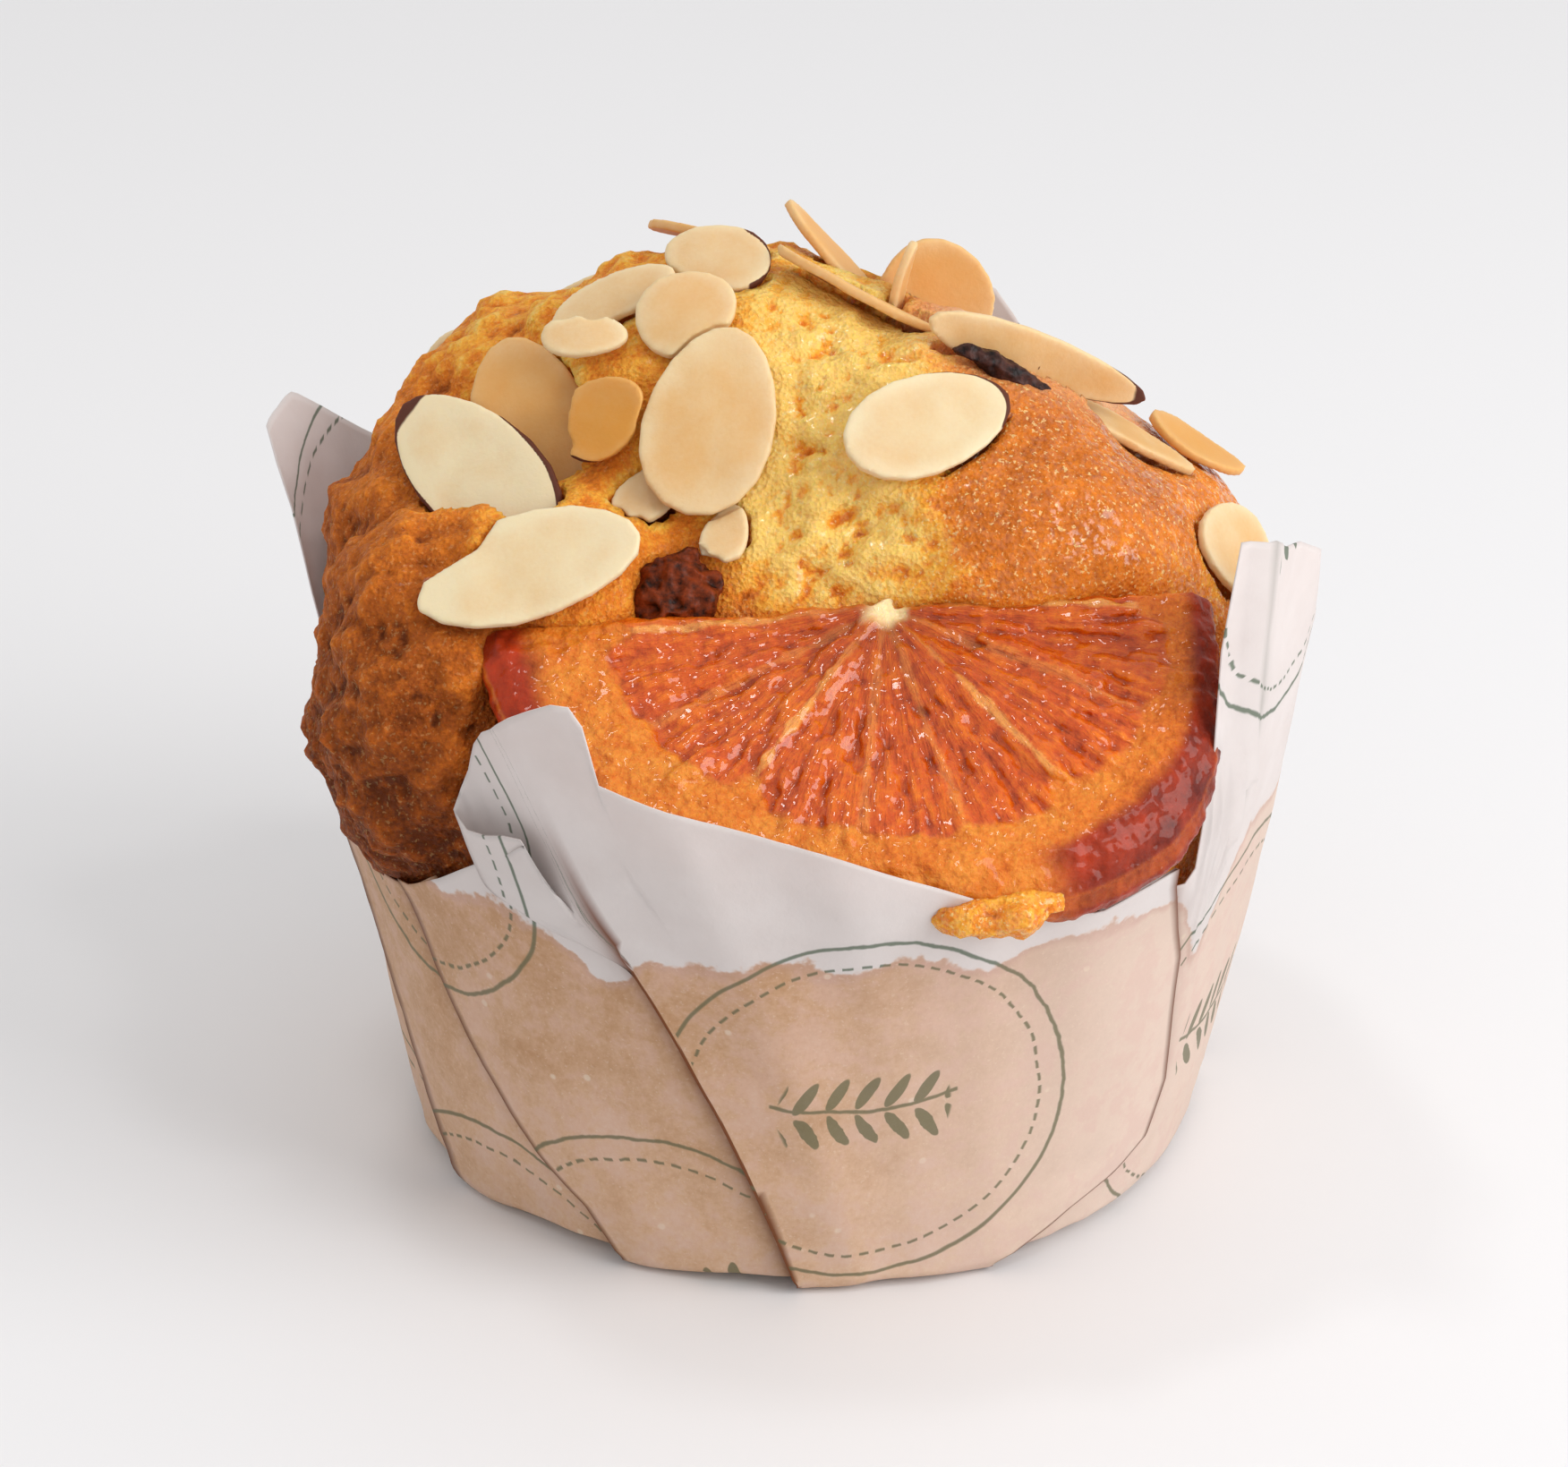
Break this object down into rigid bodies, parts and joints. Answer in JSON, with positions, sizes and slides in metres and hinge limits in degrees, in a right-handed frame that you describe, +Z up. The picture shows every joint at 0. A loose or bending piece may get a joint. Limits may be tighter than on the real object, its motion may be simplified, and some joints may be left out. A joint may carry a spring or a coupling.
{
  "type": "muffin",
  "caption": "Large baked muffin with a domed, craggy crust in a pleated square-sheet paper case, topped with half a candied orange slice and toasted almond flakes.",
  "frame": {"origin": "centre of the flat base of the paper case, where the muffin rests", "axes": "+Z is up, out of the crown; -Y is the side that the orange slice faces; +X is to the right of someone facing the orange slice"},
  "size_m": [0.0914, 0.0891, 0.0811],
  "materials": {
    "muffin_crust": "golden brown baked crust, porous in the cracks, faintly glazed on the smooth lobe",
    "greaseproof_paper": "greaseproof paper, white above the stain line and translucent with butter below it",
    "candied_orange": "wet, sugar-glossed orange flesh with a paler pith and dark red-orange peel",
    "almond": "satin toasted almond, with brown skin along some rims",
    "dark_nut": "rough dark brown nut, caramelised",
    "dried_fruit": "wrinkled dark purple dried fruit"
  },
  "bodies": {
    "root": {"baked_muffin": "muffin_crust", "paper_case": "greaseproof_paper", "orange_slice": "candied_orange", "almond_flake_01": "almond", "almond_flake_02": "almond", "almond_flake_03": "almond", "almond_flake_04": "almond", "almond_flake_05": "almond", "almond_flake_06": "almond", "almond_flake_07": "almond", "almond_flake_08": "almond", "almond_flake_09": "almond", "almond_flake_10": "almond", "almond_flake_11": "almond", "almond_flake_12": "almond", "almond_flake_13": "almond", "almond_flake_14": "almond", "almond_flake_15": "almond", "almond_flake_16": "almond", "almond_flake_17": "almond", "almond_flake_18": "almond", "almond_flake_19": "almond", "almond_flake_20": "almond", "almond_flake_21": "almond", "almond_flake_22": "almond", "almond_chip_01": "almond", "almond_chip_02": "almond", "almond_chip_03": "almond", "almond_chip_04": "almond", "nut_piece": "dark_nut", "dried_fruit_strip": "dried_fruit"}
  },
  "joints": []
}
